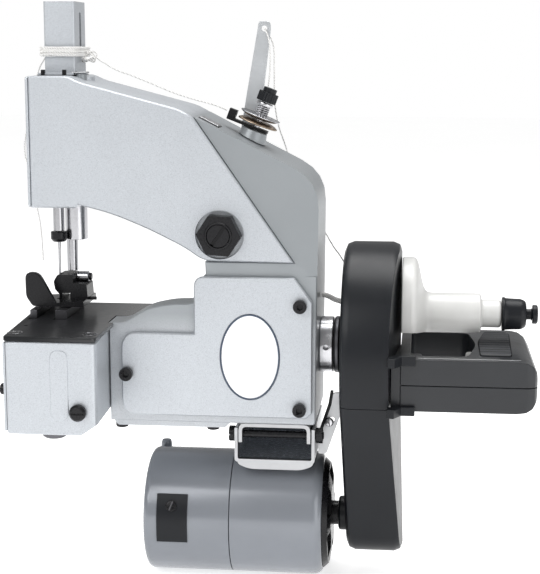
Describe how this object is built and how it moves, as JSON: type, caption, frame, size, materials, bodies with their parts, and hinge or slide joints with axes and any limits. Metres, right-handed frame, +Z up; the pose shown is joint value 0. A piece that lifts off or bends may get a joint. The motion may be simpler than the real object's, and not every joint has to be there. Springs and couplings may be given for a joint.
{
  "type": "bag closer sewing machine",
  "caption": "Portable bag closer: silver sewing head with bed and needle arm, motor and covered belt drive, loop handle with trigger, thread tension and spool holder.",
  "frame": {"origin": "centre of the bounding box on its lowest plane, under the motor", "axes": "+X from the needle end to the handle, +Y from the front cover to the back, +Z up along the needle"},
  "size_m": [0.2936, 0.143, 0.3325],
  "materials": {
    "silver_paint": "sparkle silver hammer-free spray, satin",
    "smooth_paint": "smooth darker grey paint, satin",
    "motor_paint": "glossy mid-grey paint",
    "steel": "ground and polished steel",
    "dark_steel": "dark machined steel",
    "bracket_steel": "bare bent sheet steel",
    "black_oxide": "black oxide, satin",
    "brass": "worn copper-coloured brass",
    "black_plastic": "satin black moulding",
    "white_plastic": "white moulding",
    "black_rubber": "black rubber belt",
    "grey_rubber": "ribbed mid-grey rubber",
    "thread": "off-white spun thread"
  },
  "bodies": {
    "machine_frame": {"arm_casting": "silver_paint", "body_casting": "smooth_paint", "arm_end_plate": "dark_steel", "front_cover": "silver_paint", "cover_screw_left": "black_oxide", "cover_screw_upper": "black_oxide", "cover_screw_lower": "black_oxide", "looper_box": "silver_paint", "looper_box_screw": "black_oxide", "looper_box_plug": "dark_steel", "looper_end_plate": "silver_paint", "needle_plate": "black_oxide", "presser_bushing": "steel", "needle_guard": "silver_paint", "pivot_nut": "black_oxide", "pivot_shaft": "dark_steel", "tension_boss": "smooth_paint", "tension_post": "steel", "thread_guide_plate": "black_oxide", "tension_disc_lower": "brass", "tension_disc_upper": "steel", "tension_spring": "black_oxide", "thread_arm": "bracket_steel", "drive_belt": "black_rubber", "belt_cover_upper": "black_plastic", "belt_cover_lower": "black_plastic", "handle_upper": "black_plastic", "handle_lower": "black_plastic", "grip_insert": "grey_rubber", "spool_holder": "white_plastic", "spool_cap": "black_plastic", "motor_front_shell": "motor_paint", "motor_rear_shell": "motor_paint", "motor_end_cap": "motor_paint", "brush_cover": "black_plastic", "bracket_upper": "bracket_steel", "bracket_lower": "bracket_steel", "bracket_bolt": "black_oxide", "motor_strut": "bracket_steel", "wiring_lead": "thread", "thread_supply": "thread", "thread_feed": "thread", "thread_wrap": "thread", "thread_tail": "thread"},
    "drive": {"main_shaft": "steel", "drive_pulley": "dark_steel"},
    "armature": {"motor_rotor": "dark_steel", "motor_pulley": "black_plastic"},
    "lever": {"needle_lever": "steel"},
    "conrod": {"connecting_rod": "steel"},
    "needle_group": {"needle_bar": "steel", "needle_clamp": "black_oxide", "needle": "steel"},
    "looper_group": {"looper": "steel"},
    "feed": {"feed_dog": "dark_steel"},
    "presser": {"presser_bar": "steel", "presser_foot": "black_oxide"},
    "knob": {"tension_knob": "black_plastic"},
    "trigger_body": {"trigger": "white_plastic"},
    "plunger": {"spool_plunger": "black_plastic"}
  },
  "joints": [
    {"name": "main_shaft_turn", "type": "hinge", "parent": "machine_frame", "child": "drive", "pos_m": [-0.00623, 0.01151, 0.1375], "axis": [1, 0, 0], "continuous": true},
    {"name": "motor_turn", "type": "hinge", "parent": "machine_frame", "child": "armature", "pos_m": [-0.00623, 0.01151, 0.036], "axis": [1, 0, 0], "continuous": true},
    {"name": "needle_lever_swing", "type": "hinge", "parent": "machine_frame", "child": "lever", "pos_m": [-0.03023, 0.01151, 0.2051], "axis": [0, 1, 0], "range_deg": [-10, 10]},
    {"name": "connecting_rod_pivot", "type": "hinge", "parent": "lever", "child": "conrod", "pos_m": [-0.00123, 0.01151, 0.203], "axis": [0, 1, 0], "range_deg": [-10.5, 10.5]},
    {"name": "needle_bar_slide", "type": "slide", "parent": "machine_frame", "child": "needle_group", "axis": [0, 0, 1], "range_m": [-0.0165, 0.0165]},
    {"name": "looper_rock", "type": "hinge", "parent": "machine_frame", "child": "looper_group", "pos_m": [-0.10623, 0.01151, 0.1245], "axis": [1, 0, 0], "range_deg": [-10.5, 10.5]},
    {"name": "feed_slide", "type": "slide", "parent": "machine_frame", "child": "feed", "axis": [0, 1, 0], "range_m": [-0.0031, 0.0031]},
    {"name": "presser_lift", "type": "slide", "parent": "machine_frame", "child": "presser", "axis": [0, 0, 1], "range_m": [0, 0.008], "stiffness_N_per_m": 400, "springref_m": -0.004},
    {"name": "tension_knob_turn", "type": "hinge", "parent": "machine_frame", "child": "knob", "pos_m": [-0.01823, 0.01151, 0.2515], "axis": [0.3584, 0, 0.9336], "range_deg": [-180, 180]},
    {"name": "trigger_pull", "type": "slide", "parent": "machine_frame", "child": "trigger_body", "axis": [1, 0, 0], "range_m": [0, 0.0038], "stiffness_N_per_m": 400, "springref_m": -0.002},
    {"name": "spool_plunger_push", "type": "slide", "parent": "machine_frame", "child": "plunger", "axis": [-1, 0, 0], "range_m": [0, 0.003], "stiffness_N_per_m": 400, "springref_m": -0.002}
  ],
  "couplings": [
    {"joint": "motor_turn", "follows": "main_shaft_turn", "ratio": 3.78},
    {"joint": "connecting_rod_pivot", "follows": "needle_lever_swing", "ratio": -1},
    {"joint": "needle_bar_slide", "follows": "needle_lever_swing", "m_per_rad": 0.0916},
    {"joint": "looper_rock", "follows": "needle_lever_swing", "ratio": 1},
    {"joint": "feed_slide", "follows": "needle_lever_swing", "m_per_rad": 0.017}
  ]
}
